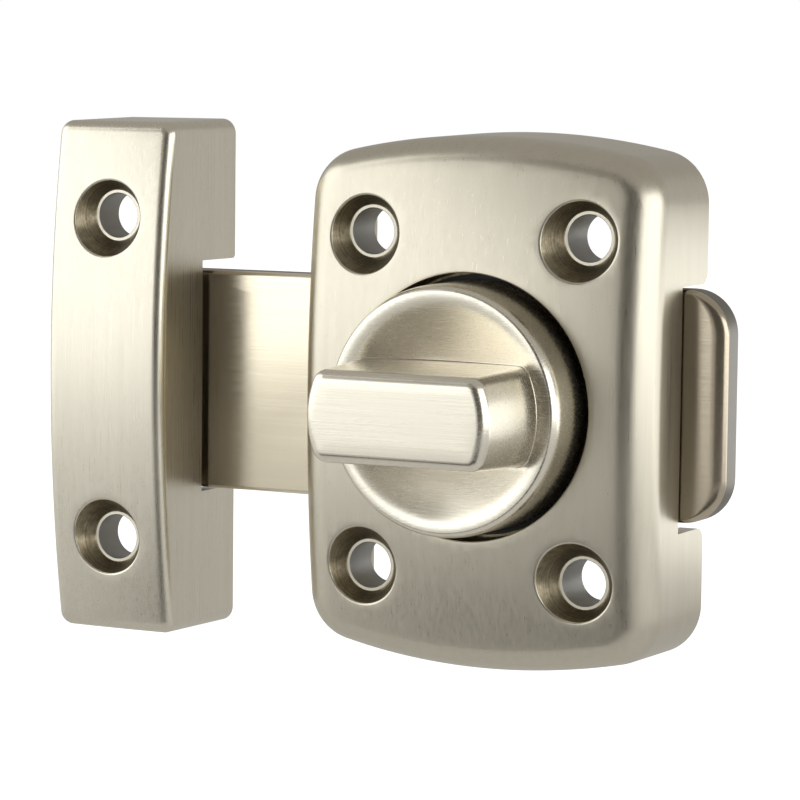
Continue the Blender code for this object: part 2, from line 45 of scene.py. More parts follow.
HOUSING = dict(width=43.8 * MM, height=60.4 * MM, end_radius=82.0 * MM, corner=6.0 * MM)
HOUSING_THICKNESS = 17.3 * MM
HOUSING_FILLET = (3.8 * MM, 2.9 * MM)
HOUSING_CAVITY = 7.9 * MM
HOUSING_NOTCH = (27.4 * MM, 6.95 * MM, 1.5 * MM)
RIB_THICKNESS = 1.8 * MM
RIB_SHORT_OF_DOOR = 0.3 * MM
RIB_BEHIND_NOTCH = 0.25 * MM
CORE_POCKET = (12.8 * MM, 9.6 * MM)
CORE_POCKET_FLOOR = 13.0 * MM

KEEPER = dict(width=16.2 * MM, height=60.6 * MM, end_radius=None, corner=1.8 * MM)
KEEPER_THICKNESS = 16.9 * MM
KEEPER_FILLET = (1.3 * MM, 1.3 * MM)
KEEPER_CAVITY = 9.0 * MM
KEEPER_NOTCH = (27.4 * MM, 7.4 * MM, 0.5 * MM)
KEEPER_RELIEF = (47.0 * MM, 4.6 * MM, 0.5 * MM)
KEEPER_X = -47.0 * MM
KEEPER_RISE = 0.8 * MM

# Bolt plate
PLATE_LEFT = -42.9 * MM
PLATE_RIGHT = 26.9 * MM
PLATE_BOTTOM = -12.55 * MM
PLATE_TOP = 13.35 * MM
PLATE_BACK = 2.95 * MM
PLATE_FRONT = 6.65 * MM
PLATE_END_CORNER = 5.0 * MM
PLATE_TIP_CORNER = 1.5 * MM
PLATE_CHAMFER = 0.15 * MM
PLATE_ROLL_END = 1.9 * MM
PLATE_ROLL_EDGE = 0.5 * MM
PLATE_ROLL_DEPTH = 0.9 * MM

# Knob
RECESS_RADIUS = 14.9 * MM
RECESS_FLOOR = 12.0 * MM
RECESS_RIM = ((0.16 * MM, 0.03 * MM), (0.05 * MM, 0.12 * MM), (0.0, 0.28 * MM))
JOURNAL_BORE = 13.2 * MM
JOURNAL_RADIUS = 12.9 * MM
JOURNAL_BACK = HOUSING_CAVITY
DISC_RADIUS = 14.05 * MM
DISC_BACK = 13.1 * MM
DISC_RIM = 22.9 * MM
CREST_RADIUS = 13.2 * MM
RIM_SHOULDER = 1.6 * MM
SIDE_LEAN = 0.1 * MM
DISH_RADIUS = 34.0 * MM
DISH_ROLL = 1.9 * MM
GRIP_HEIGHT = 33.8 * MM
GRIP_BASE = (10.95 * MM, 11.6 * MM)
GRIP_FRONT = (10.1 * MM, 10.9 * MM)
GRIP_CORNER = 1.7 * MM
GRIP_EDGE = 1.25 * MM
GRIP_ROOT = 0.16 * MM
CRANK_RADIUS = 9.0 * MM
STROKE = 2 * CRANK_RADIUS
SLOT_RADIUS = 2.7 * MM
KNOB_CORE = (5.2 * MM, 11.0 * MM)
CRANK_SEAT = (1.95 * MM, 5.3 * MM)

AXIS_HEIGHT = 28.95 * MM

# Fineness of the meshes
SIDE_STEPS = 22
CORNER_STEPS = 14
END_STEPS = 22
FILLET_STEPS = 12
TURNED_STEPS = 180
HOLE_STEPS = 72
FACE_SPACING = 0.8 * MM
SHARP_ANGLE = math.radians(32)

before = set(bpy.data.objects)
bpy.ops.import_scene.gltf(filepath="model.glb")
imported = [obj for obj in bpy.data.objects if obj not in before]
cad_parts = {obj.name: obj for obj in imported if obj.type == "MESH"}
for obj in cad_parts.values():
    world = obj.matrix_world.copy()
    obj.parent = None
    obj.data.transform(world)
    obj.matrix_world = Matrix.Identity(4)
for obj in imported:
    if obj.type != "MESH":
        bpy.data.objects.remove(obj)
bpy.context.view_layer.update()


def stand(x, up, out):
    return Vector((x, -out, AXIS_HEIGHT + up))


def keep_piece(name, bm, body, node, materials, shift=(0.0, 0.0), finish_at=None):
    """Stand a finished bench mesh upright as a piece in place of its plain solid.

    finish_at gives each face the index of its material from the face's middle on the bench.
    """
    for face in bm.faces:
        face.material_index = finish_at(face.calc_center_median()) if finish_at else 0
    for vert in bm.verts:
        x, up, out = vert.co
        vert.co = stand(x + shift[0], up + shift[1], out)
    bmesh.ops.recalc_face_normals(bm, faces=bm.faces)
    mesh = bpy.data.meshes.new(name)
    bm.to_mesh(mesh)
    bm.free()
    mesh.shade_smooth()
    mesh.set_sharp_from_angle(angle=SHARP_ANGLE)
    for material in materials:
        mesh.materials.append(material)
    piece = bpy.data.objects.new(name, mesh)
    bpy.context.scene.collection.objects.link(piece)
    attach(piece, body)
    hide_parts(node)
    return piece


def quarter_outline(half_width, half_height, end_radius, corner):
    """From the middle of the right side, up and over the corner, to the middle of the top."""
    if end_radius:
        arc_centre = half_height - end_radius
        corner_x = half_width - corner
        corner_y = arc_centre + math.sqrt((end_radius - corner) ** 2 - corner_x ** 2)
        turn = math.atan2(corner_y - arc_centre, corner_x)
    else:
        corner_x = half_width - corner
        corner_y = half_height - corner
        turn = math.pi / 2
    points = [(half_width, corner_y * step / SIDE_STEPS) for step in range(SIDE_STEPS)]
    for step in range(CORNER_STEPS):
        angle = turn * step / CORNER_STEPS
        points.append((corner_x + corner * math.cos(angle), corner_y + corner * math.sin(angle)))
    for step in range(END_STEPS + 1):
        share = step / END_STEPS
        if end_radius:
            angle = turn + (math.pi / 2 - turn) * share
            points.append((end_radius * math.cos(angle), arc_centre + end_radius * math.sin(angle)))
        else:
            points.append((corner_x * (1 - share), half_height))
    return points


def casting_outline(width, height, end_radius, corner, inset=0.0, end_inset=None):
    """Closed outline, counter-clockwise from the middle of the bottom, moved in by the insets."""
    if end_inset is None:
        end_inset = inset
    radius = end_radius - end_inset if end_radius else None
    inner_corner = max(corner - inset, 0.15 * MM)
    quarter = quarter_outline(width / 2 - inset, height / 2 - end_inset, radius, inner_corner)
    bottom_right = [(x, -y) for x, y in reversed(quarter)]
    top_left = [(-x, y) for x, y in reversed(quarter)]
    bottom_left = [(-x, -y) for x, y in quarter]
    return bottom_right + quarter[1:] + top_left[1:] + bottom_left[1:-1]


def crown(x, y, thickness):
    return thickness - CROWN_RADIUS + math.sqrt(CROWN_RADIUS ** 2 - x ** 2 - y ** 2)


def circle(radius, steps, centre=(0.0, 0.0)):
    return [(centre[0] + radius * math.cos(2 * math.pi * step / steps),
             centre[1] + radius * math.sin(2 * math.pi * step / steps)) for step in range(steps)]


def add_ring(bm, points):
    return [bm.verts.new(point) for point in points]


def turned_rings(bm, profile):
    """Rings of a turned form about the knob's axis, from its (radius, height) profile."""
    return [add_ring(bm, [(x, y, height) for x, y in circle(radius, TURNED_STEPS)])
            for radius, height in profile]


def join(bm, lower, upper):
    """A band of faces between two rings of equal length."""
    count = len(lower)
    for index in range(count):
        following = (index + 1) % count
        bm.faces.new((lower[index], lower[following], upper[following], upper[index]))


def join_all(bm, rings):
    for lower, upper in zip(rings, rings[1:]):
        join(bm, lower, upper)


def inside(loop, x, y):
    """Whether a point is inside a closed outline of vertices."""
    found = False
    for here, there in zip(loop, loop[1:] + loop[:1]):
        if (here.co.y > y) != (there.co.y > y):
            share = (y - here.co.y) / (there.co.y - here.co.y)
            cross = here.co.x + share * (there.co.x - here.co.x)
            found = found != (x < cross)
    return found


def fill_face(bm, outer, holes, height_at, spacing=FACE_SPACING):
    """Fill the space between one outer ring and any number of holes with even triangles."""
    loops = [outer] + holes
    corners = []
    edges = []
    for loop in loops:
        start = len(corners)
        corners += loop
        edges += [(start + index, start + (index + 1) % len(loop)) for index in range(len(loop))]
    flat = [Vector((vert.co.x, vert.co.y)) for vert in corners]
    low_x = min(point.x for point in flat)
    high_x = max(point.x for point in flat)
    low_y = min(point.y for point in flat)
    high_y = max(point.y for point in flat)

    def within(x, y):
        return inside(outer, x, y) and not any(inside(hole, x, y) for hole in holes)

    row_height = spacing * math.sqrt(3) / 2
    margin = spacing * 0.6
    buckets = {}
    for point in flat:
        buckets.setdefault((int(point.x // spacing), int(point.y // spacing)), []).append(point)

    def near_edge(x, y):
        column, row = int(x // spacing), int(y // spacing)
        for across in (-1, 0, 1):
            for along in (-1, 0, 1):
                for point in buckets.get((column + across, row + along), ()):
                    if (point.x - x) ** 2 + (point.y - y) ** 2 < margin ** 2:
                        return True
        return False

    points = list(flat)
    for row in range(int((high_y - low_y) / row_height) + 1):
        y = low_y + (row + 0.5) * row_height
        for column in range(int((high_x - low_x) / spacing) + 1):
            x = low_x + (column + 0.5 * (row % 2)) * spacing
            if near_edge(x, y) or not within(x, y):
                continue
            points.append(Vector((x, y)))

    found, _, triangles, origins, _, _ = delaunay_2d_cdt(points, edges, [], 0, 1e-9)
    verts = []
    for place, sources in zip(found, origins):
        if sources and min(sources) < len(corners):
            verts.append(corners[min(sources)])
        else:
            verts.append(bm.verts.new((place.x, place.y, height_at(place.x, place.y))))
    for triangle in triangles:
        middle = sum((found[index] for index in triangle), Vector((0.0, 0.0))) / 3
        if within(middle.x, middle.y):
            bm.faces.new([verts[index] for index in triangle])


def screw_hole_rings(x, y, thickness, cavity):
    """Rings of a tapered counterbore from its softened rim on the crown down to the hollow."""
    mouth = crown(x, y, thickness)
    seat = mouth - COUNTERBORE_DEPTH
    flare = (MOUTH_RADIUS - SEAT_RADIUS) / COUNTERBORE_DEPTH
    soft = 0.22 * MM
    rims = [[] for _ in range(5)]
    for step in range(HOLE_STEPS):
        angle = 2 * math.pi * step / HOLE_STEPS
        radius = MOUTH_RADIUS
        for _ in range(4):
            height = crown(x + radius * math.cos(angle), y + radius * math.sin(angle), thickness)
            radius = MOUTH_RADIUS + flare * (height - mouth)
        outer = radius + soft
        outer_height = crown(x + outer * math.cos(angle), y + outer * math.sin(angle), thickness)
        inner = radius - flare * soft
        for index, ring in enumerate(rims):
            share = index / (len(rims) - 1)
            here = (1 - share) ** 2 * outer + 2 * share * (1 - share) * radius + share ** 2 * inner
            up = ((1 - share) ** 2 * outer_height + 2 * share * (1 - share) * height
                  + share ** 2 * (height - soft))
            ring.append((x + here * math.cos(angle), y + here * math.sin(angle), up))
    seat_ease = 0.12 * MM
    bore_ease = 0.06 * MM
    back_ease = 0.1 * MM
    lower = ((SEAT_RADIUS + flare * seat_ease, seat + seat_ease), (SEAT_RADIUS - 0.04 * MM, seat),
             (SCREW_BORE + bore_ease, seat), (SCREW_BORE, seat - bore_ease),
             (SCREW_BORE, cavity + back_ease), (SCREW_BORE + back_ease, cavity))
    return rims + [[(px, py, height) for px, py in circle(radius, HOLE_STEPS, (x, y))]
                   for radius, height in lower]


def casting(shape, thickness, fillet, cavity, holes, recess=False):
    """A drafted die casting with a rounded edge, crowned front, hollow back and screw holes."""
    bm = bmesh.new()

    def outline(inset, end_inset, height_at):
        points = casting_outline(**shape, inset=inset, end_inset=end_inset)
        return add_ring(bm, [(x, y, height_at(x, y)) for x, y in points])

    side_fillet, end_fillet = fillet
    lean = (thickness - side_fillet) * math.tan(DRAFT)
    skin = [outline(0.0, 0.0, lambda x, y: 0.0)]
    for step in range(FILLET_STEPS + 1):
        angle = math.pi / 2 * step / FILLET_STEPS
        below = side_fillet * (1 - math.sin(angle))
        reach_in = 1 - math.cos(angle)
        skin.append(outline(lean + side_fillet * reach_in, lean + end_fillet * reach_in,
                            lambda x, y: crown(x, y, thickness) - below))
    wall = [outline(WALL, WALL, lambda x, y: cavity), outline(WALL, WALL, lambda x, y: 0.0)]
    join_all(bm, wall + skin)

    front_holes = []
    back_holes = []
    for x, y in holes:
        rings = [add_ring(bm, points) for points in screw_hole_rings(x, y, thickness, cavity)]
        join_all(bm, rings)
        front_holes.append(rings[0])
        back_holes.append(rings[-1])
    if recess:
        edge_height = crown(RECESS_RADIUS, 0.0, thickness)
        brim = RECESS_RADIUS + 0.3 * MM
        profile = [(brim, crown(brim, 0.0, thickness))]
        profile += [(RECESS_RADIUS + out, edge_height - down) for out, down in RECESS_RIM]
        profile += [(RECESS_RADIUS, RECESS_FLOOR),
                    (JOURNAL_BORE, RECESS_FLOOR), (JOURNAL_BORE, cavity)]
        rings = turned_rings(bm, profile)
        join_all(bm, rings)
        front_holes.append(rings[0])
        back_holes.append(rings[-1])
    fill_face(bm, skin[-1], front_holes, lambda x, y: crown(x, y, thickness))
    fill_face(bm, wall[0], back_holes, lambda x, y: cavity, spacing=3 * MM)
    sliver_gaps = [edge for edge in bm.edges if edge.is_boundary]
    bmesh.ops.holes_fill(bm, edges=sliver_gaps, sides=0)
    bmesh.ops.recalc_face_normals(bm, faces=bm.faces)
    return bm


def box_bm(size, centre):
    bm = bmesh.new()
    place = Matrix.Translation(centre) @ Matrix.Diagonal((*size, 1.0))
    bmesh.ops.create_cube(bm, size=1.0, matrix=place)
    return bm


def pulled_bm(corners, pull):
    """A flat outline, pulled along a vector into a solid."""
    bm = bmesh.new()
    face = bm.faces.new([bm.verts.new(corner) for corner in corners])
    grown = bmesh.ops.extrude_face_region(bm, geom=[face])
    moved = [item for item in grown["geom"] if isinstance(item, bmesh.types.BMVert)]
    bmesh.ops.translate(bm, verts=moved, vec=pull)
    bmesh.ops.recalc_face_normals(bm, faces=bm.faces)
    return bm


def notch_bm(side_x, height, depth, corner):
    """The bolt plate's slot through a side wall, open at the back, with rounded back corners."""
    half = height / 2
    outline = [(half, depth), (-half, depth)]
    for side in (-1, 1):
        arc = []
        for step in range(9):
            angle = math.pi / 2 * step / 8
            across = half + corner * (1 - math.cos(angle))
            arc.append((side * across, corner * (1 - math.sin(angle))))
        if side < 0:
            outline += arc + [(-half - corner, -5 * MM)]
        else:
            outline += [(half + corner, -5 * MM)] + arc[::-1]
    return pulled_bm([(side_x - WALL, up, out) for up, out in outline], (2 * WALL, 0.0, 0.0))


def carved(bm, steps):
    """Apply a list of (operation, cutter) Booleans to a bench mesh and give back the result."""
    def scratch(source):
        mesh = bpy.data.meshes.new("scratch")
        source.to_mesh(mesh)
        source.free()
        item = bpy.data.objects.new("scratch", mesh)
        bpy.context.scene.collection.objects.link(item)
        return item

    item = scratch(bm)
    cutters = []
    for operation, cutter in steps:
        tool = scratch(cutter)
        cutters.append(tool)
        step = item.modifiers.new(operation, "BOOLEAN")
        step.operation = operation
        step.solver = "EXACT"
        step.object = tool
    bpy.context.view_layer.update()
    shaped = item.evaluated_get(bpy.context.evaluated_depsgraph_get())
    result = bmesh.new()
    result.from_mesh(shaped.to_mesh())
    shaped.to_mesh_clear()
    for used in [item] + cutters:
        mesh = used.data
        bpy.data.objects.remove(used, do_unlink=True)
        bpy.data.meshes.remove(mesh)
    return result


HOUSING_HOLES = [(across * SCREW_PITCH_ACROSS / 2, up * SCREW_PITCH_UP / 2)
                 for across in (-1, 1) for up in (-1, 1)]
KEEPER_HOLES = [(0.0, up * SCREW_PITCH_UP / 2) for up in (-1, 1)]
PLATED, TURNED, BORED = range(3)


def casting_finish(holes, thickness, recess=False):
    """Which faces of a casting are plated, turned (counterbores, recess) or bored."""
    def finish_at(place):
        below = crown(place.x, place.y, thickness) - place.z
        for x, y in holes:
            radius = math.hypot(place.x - x, place.y - y)
            if radius < SCREW_BORE + 0.08 * MM and below > COUNTERBORE_DEPTH - 0.6 * MM:
                return BORED
            if radius < SEAT_RADIUS:
                return PLATED
            in_mouth = radius < MOUTH_RADIUS + 0.3 * MM
            if in_mouth and 0.12 * MM < below < COUNTERBORE_DEPTH + 0.5 * MM:
                return TURNED
        in_recess = recess and math.hypot(place.x, place.y) < RECESS_RADIUS + 0.1 * MM
        if in_recess and below > 0.06 * MM and place.z > HOUSING_CAVITY:
            return TURNED
        return PLATED
    return finish_at


def housing_bm():
    bm = casting(HOUSING, HOUSING_THICKNESS, HOUSING_FILLET, HOUSING_CAVITY, HOUSING_HOLES,
                 recess=True)
    steps = []
    rib_depth = HOUSING_CAVITY + WALL / 2 - RIB_SHORT_OF_DOOR
    rib_up = (HOUSING_NOTCH[0] + RIB_THICKNESS) / 2 + RIB_BEHIND_NOTCH
    pocket_depth = CORE_POCKET_FLOOR - HOUSING_CAVITY / 2
    pocket_up = HOUSING["height"] / 2 - WALL - CORE_POCKET[1] / 2 - 0.5 * MM
    for side in (-1, 1):
        size = (HOUSING["width"] - WALL, RIB_THICKNESS, rib_depth)
        centre = (0.0, side * rib_up, RIB_SHORT_OF_DOOR + rib_depth / 2)
        steps.append(("UNION", box_bm(size, centre)))
    for side in (-1, 1):
        size = (*CORE_POCKET, pocket_depth)
        centre = (0.0, side * pocket_up, CORE_POCKET_FLOOR - pocket_depth / 2)
        steps.append(("DIFFERENCE", box_bm(size, centre)))
    notch_x = HOUSING["width"] / 2 - WALL / 2
    for side in (-1, 1):
        steps.append(("DIFFERENCE", notch_bm(side * notch_x, *HOUSING_NOTCH)))
    return carved(bm, steps)


def keeper_bm():
    bm = casting(KEEPER, KEEPER_THICKNESS, KEEPER_FILLET, KEEPER_CAVITY, KEEPER_HOLES)
    notch_x = (KEEPER["width"] - WALL) / 2
    return carved(bm, [("DIFFERENCE", notch_bm(notch_x, *KEEPER_NOTCH)),
                       ("DIFFERENCE", notch_bm(-notch_x, *KEEPER_RELIEF))])


def dish(x, y):
    """Height of the knob's round hollow, which rolls off level at the crest."""
    bowl = CREST_RADIUS - DISH_ROLL
    radius = math.hypot(x, y)
    roll_rise = bowl * DISH_ROLL / (2 * DISH_RADIUS)
    brim = DISC_RIM - roll_rise
    if radius <= bowl:
        return brim - (bowl ** 2 - radius ** 2) / (2 * DISH_RADIUS)
    share = (radius - bowl) / DISH_ROLL
    return brim + roll_rise * (share + math.sin(math.pi * share) / math.pi)


def grip_ring(bm, thickness, radius, inset, height_at):
    outline = casting_outline(thickness, 2 * radius, radius, GRIP_CORNER, inset)
    return add_ring(bm, [(x, y, height_at(x, y)) for y, x in outline])


def knob_bm():
    bm = bmesh.new()
    profile = [(CREST_RADIUS, DISC_RIM)]
    for step in range(1, 13):
        angle = math.radians(84) * step / 12
        profile.append((CREST_RADIUS + (DISC_RADIUS - CREST_RADIUS - SIDE_LEAN) * math.sin(angle),
                        DISC_RIM - RIM_SHOULDER * (1 - math.cos(angle))))
    core, core_depth = KNOB_CORE
    profile += [(DISC_RADIUS, DISC_BACK), (JOURNAL_RADIUS, DISC_BACK),
                (JOURNAL_RADIUS, JOURNAL_BACK), (core, JOURNAL_BACK),
                (core, JOURNAL_BACK + core_depth)]
    rings = turned_rings(bm, profile)
    join_all(bm, rings)
    bm.faces.new(rings[-1])

    bands = []
    for step in range(7):
        angle = math.pi / 2 * step / 6
        out = GRIP_ROOT * (1 - math.sin(angle))
        rise = GRIP_ROOT * (1 - math.cos(angle))
        bands.append(grip_ring(bm, *GRIP_BASE, -out, lambda x, y: dish(x, y) + rise))
    for step in range(11):
        angle = math.pi / 2 * step / 10
        inset = GRIP_EDGE * (1 - math.cos(angle))
        height = GRIP_HEIGHT - GRIP_EDGE * (1 - math.sin(angle))
        bands.append(grip_ring(bm, *GRIP_FRONT, inset, lambda x, y: height))
    join_all(bm, bands)
    fill_face(bm, bands[-1], [], lambda x, y: GRIP_HEIGHT, spacing=1.2 * MM)
    fill_face(bm, rings[0], [bands[0]], dish, spacing=0.5 * MM)
    bmesh.ops.recalc_face_normals(bm, faces=bm.faces)

    seat_radius, seat_depth = CRANK_SEAT
    seat = bmesh.new()
    bmesh.ops.create_cone(seat, cap_ends=True, segments=48, depth=2 * seat_depth,
                          radius1=seat_radius, radius2=seat_radius,
                          matrix=Matrix.Translation((-CRANK_RADIUS, 0.0, JOURNAL_BACK)))
    return carved(bm, [("DIFFERENCE", seat)])


def plate_ring(bm, inset_end, inset_edge, height):
    """The plate's outline, drawn in by different amounts at the right end and along the edges."""
    left = PLATE_LEFT + inset_edge
    right = PLATE_RIGHT - inset_end
    bottom = PLATE_BOTTOM + inset_edge
    top = PLATE_TOP - inset_edge
    end = PLATE_END_CORNER
    tip = PLATE_TIP_CORNER
    corners = [(left, bottom, tip - inset_edge, tip - inset_edge, 1, 1, 2),
               (right, bottom, end - inset_end, end - inset_edge, -1, 1, 3),
               (right, top, end - inset_end, end - inset_edge, -1, -1, 0),
               (left, top, tip - inset_edge, tip - inset_edge, 1, -1, 1)]
    points = []
    for x, y, across, along, inward_x, inward_y, quarter in corners:
        for step in range(15):
            angle = math.pi / 2 * (quarter + step / 14)
            points.append((x + inward_x * across + across * math.cos(angle),
                           y + inward_y * along + along * math.sin(angle), height))
    return add_ring(bm, points)


def plate_bm():
    bm = bmesh.new()
    rings = [plate_ring(bm, PLATE_CHAMFER, PLATE_CHAMFER, PLATE_BACK),
             plate_ring(bm, 0.0, 0.0, PLATE_BACK + PLATE_CHAMFER)]
    for step in range(10):
        angle = math.pi / 2 * step / 9
        inward = 1 - math.cos(angle)
        rings.append(plate_ring(bm, PLATE_ROLL_END * inward, PLATE_ROLL_EDGE * inward,
                                PLATE_FRONT - PLATE_ROLL_DEPTH * (1 - math.sin(angle))))
    join_all(bm, rings)
    bm.faces.new(rings[0])
    bm.faces.new(rings[-1])
    bmesh.ops.recalc_face_normals(bm, faces=bm.faces)

    slot = pulled_bm([(x, y, 0.0) for x, y in crank_slot()], (0.0, 0.0, 10 * MM))
    return carved(bm, [("DIFFERENCE", slot)])


def crank_slot():
    """The leaf-shaped slot that clears the crank's sleeve all along its path in the plate."""
    def path(turn):
        along = -CRANK_RADIUS * math.cos(turn) - STROKE * turn / math.pi
        return along, CRANK_RADIUS * math.sin(turn)

    points = []
    for step in range(57):
        turn = math.pi * step / 56
        x, y = path(turn)
        along_x = CRANK_RADIUS * math.sin(turn) - STROKE / math.pi
        along_y = CRANK_RADIUS * math.cos(turn)
        length = math.hypot(along_x, along_y)
        points.append((x - along_y / length * SLOT_RADIUS, y + along_x / length * SLOT_RADIUS))
    foot_x, foot_y = path(0.0)
    first = math.atan2(points[-1][1] - foot_y, points[-1][0] - foot_x)
    last = math.atan2(points[0][1] - foot_y, points[0][0] - foot_x)
    while last > first:
        last -= 2 * math.pi
    for step in range(1, 20):
        angle = first + (last - first) * step / 20
        points.append((foot_x + SLOT_RADIUS * math.cos(angle),
                       foot_y + SLOT_RADIUS * math.sin(angle)))
    return points


# Shader node helpers

def add_node(tree, kind, **settings):
    node = tree.nodes.new(kind)
    for name, value in settings.items():
        setattr(node, name, value)
    return node


def feed(tree, node, **values):
    """Set a node's inputs by name, or by index as i0, i1 and so on.

    An output socket is linked, and anything else is the input's value.
    """
    for name, value in values.items():
        by_index = name[0] == "i" and name[1:].isdigit()
        target = node.inputs[int(name[1:]) if by_index else name.replace("_", " ")]
        if isinstance(value, bpy.types.NodeSocket):
            tree.links.new(value, target)
        else:
            target.default_value = value
    return node


def math_node(tree, operation, first, second):
    node = add_node(tree, "ShaderNodeMath", operation=operation)
    feed(tree, node, i0=first, i1=second)
    return node.outputs[0]


def vector_node(tree, operation, first, second=(0.0, 0.0, 0.0)):
    node = add_node(tree, "ShaderNodeVectorMath", operation=operation)
    return feed(tree, node, i0=first, i1=second)


def object_place(tree):
    return add_node(tree, "ShaderNodeTexCoord").outputs["Object"]


def new_group(name, inputs, outputs):
    group = bpy.data.node_groups.new(name, "ShaderNodeTree")
    for label, kind, value in inputs:
        socket = group.interface.new_socket(label, in_out="INPUT", socket_type=kind)
        socket.default_value = value
    for label, kind in outputs:
        group.interface.new_socket(label, in_out="OUTPUT", socket_type=kind)
    return group, group.nodes.new("NodeGroupInput"), group.nodes.new("NodeGroupOutput")


def stretched_noise(tree, stretch, detail, roughness):
    scaled = vector_node(tree, "MULTIPLY", object_place(tree), stretch).outputs[0]
    noise = add_node(tree, "ShaderNodeTexNoise", noise_dimensions="3D")
    feed(tree, noise, Vector=scaled, Scale=1.0, Detail=detail, Roughness=roughness)
    return noise.outputs["Fac"]


def brushing_group():
    """Hairlines left by a fibre wheel: fine lines, and broad bands where the strokes overlap."""
    group, given, out = new_group(
        "brushed_hairlines",
        [("Fine Stretch", "NodeSocketVector", (6000.0, 6000.0, 160.0)),
         ("Broad Stretch", "NodeSocketVector", (900.0, 900.0, 40.0))],
        [("Fine", "NodeSocketFloat"), ("Broad", "NodeSocketFloat")])
    fine = stretched_noise(group, given.outputs["Fine Stretch"], 3.0, 0.65)
    broad = stretched_noise(group, given.outputs["Broad Stretch"], 2.0, 0.5)
    group.links.new(fine, out.inputs["Fine"])
    group.links.new(broad, out.inputs["Broad"])
    return group


def pitting_group():
    """Small casting pits and nicks under the plating, scattered in patches."""
    group, given, out = new_group(
        "cast_pits",
        [("Scale", "NodeSocketFloat", 1400.0), ("Amount", "NodeSocketFloat", 0.5)],
        [("Pits", "NodeSocketFloat")])
    place = object_place(group)
    cells = add_node(group, "ShaderNodeTexVoronoi", feature="F1")
    feed(group, cells, Vector=place, Scale=given.outputs["Scale"], Randomness=1.0)
    dots = math_node(group, "LESS_THAN", cells.outputs["Distance"], 0.16)
    patches = add_node(group, "ShaderNodeTexNoise")
    feed(group, patches, Vector=place, Scale=160.0, Detail=2.0, Roughness=0.6)
    threshold = math_node(group, "SUBTRACT", 1.0, given.outputs["Amount"])
    near = math_node(group, "GREATER_THAN", patches.outputs["Fac"], threshold)
    group.links.new(math_node(group, "MULTIPLY", dots, near), out.inputs["Pits"])
    return group


def turning_group():
    """Fine grooves left by a form tool, in circles round four holes set evenly about a centre."""
    group, given, out = new_group(
        "turned_grooves",
        [("Centre", "NodeSocketVector", (0.0, 0.0, 0.0)),
         ("Half Pitch", "NodeSocketVector", (0.01, 0.0, 0.01)),
         ("Fineness", "NodeSocketFloat", 9000.0)],
        [("Grooves", "NodeSocketFloat"), ("Blotches", "NodeSocketFloat")])
    place = object_place(group)
    from_centre = vector_node(group, "SUBTRACT", place, given.outputs["Centre"]).outputs[0]
    folded = vector_node(group, "ABSOLUTE", from_centre).outputs[0]
    from_hole = vector_node(group, "SUBTRACT", folded, given.outputs["Half Pitch"]).outputs[0]
    in_plane = vector_node(group, "MULTIPLY", from_hole, (1.0, 0.0, 1.0)).outputs[0]
    radius = vector_node(group, "LENGTH", in_plane).outputs["Value"]
    grooves = add_node(group, "ShaderNodeTexNoise", noise_dimensions="1D")
    feed(group, grooves, W=radius, Scale=given.outputs["Fineness"], Detail=2.0, Roughness=0.6)
    blotches = add_node(group, "ShaderNodeTexNoise", noise_dimensions="3D")
    feed(group, blotches, Vector=place, Scale=900.0, Detail=4.0, Roughness=0.65)
    group.links.new(grooves.outputs["Fac"], out.inputs["Grooves"])
    group.links.new(blotches.outputs["Fac"], out.inputs["Blotches"])
    return group


def new_material(name):
    material = bpy.data.materials.new(name)
    material.use_nodes = True
    return material, material.node_tree, material.node_tree.nodes["Principled BSDF"]


def ranged(tree, value, source, target=(0.0, 1.0)):
    """Map a value from a source range to a target range."""
    node = add_node(tree, "ShaderNodeMapRange")
    feed(tree, node, Value=value, From_Min=source[0], From_Max=source[1],
         To_Min=target[0], To_Max=target[1])
    return node.outputs[0]


def mixed_colour(tree, share, first, second):
    """A mix of two colours, the first at share 0 and the second at share 1."""
    node = add_node(tree, "ShaderNodeMix", data_type="RGBA")
    feed(tree, node, i0=share, i6=first, i7=second)
    return node.outputs[2]


def relief_from(tree, height, distance, strength=1.0):
    node = add_node(tree, "ShaderNodeBump")
    return feed(tree, node, Strength=strength, Distance=distance, Height=height).outputs[0]


def turned_metal(name, centre, half_pitch):
    """The bare machined brown of a counterbore, with its tool marks."""
    material, tree, shader = new_material(name)
    marks = add_node(tree, "ShaderNodeGroup", node_tree=turning)
    feed(tree, marks, Centre=centre, Half_Pitch=half_pitch, Fineness=9000.0)
    both = math_node(tree, "ADD", math_node(tree, "MULTIPLY", marks.outputs["Grooves"], 0.35),
                     math_node(tree, "MULTIPLY", marks.outputs["Blotches"], 0.65))
    tone = ranged(tree, both, (0.38, 0.66))
    colour = mixed_colour(tree, tone, (*TURNED_DARK, 1.0), (*TURNED_LIGHT, 1.0))
    gloss = ranged(tree, marks.outputs["Blotches"], (0.3, 0.7), (0.44, 0.28))
    feed(tree, shader, Base_Color=colour, Roughness=gloss, Metallic=1.0,
         Normal=relief_from(tree, both, 0.012 * MM))
    return material


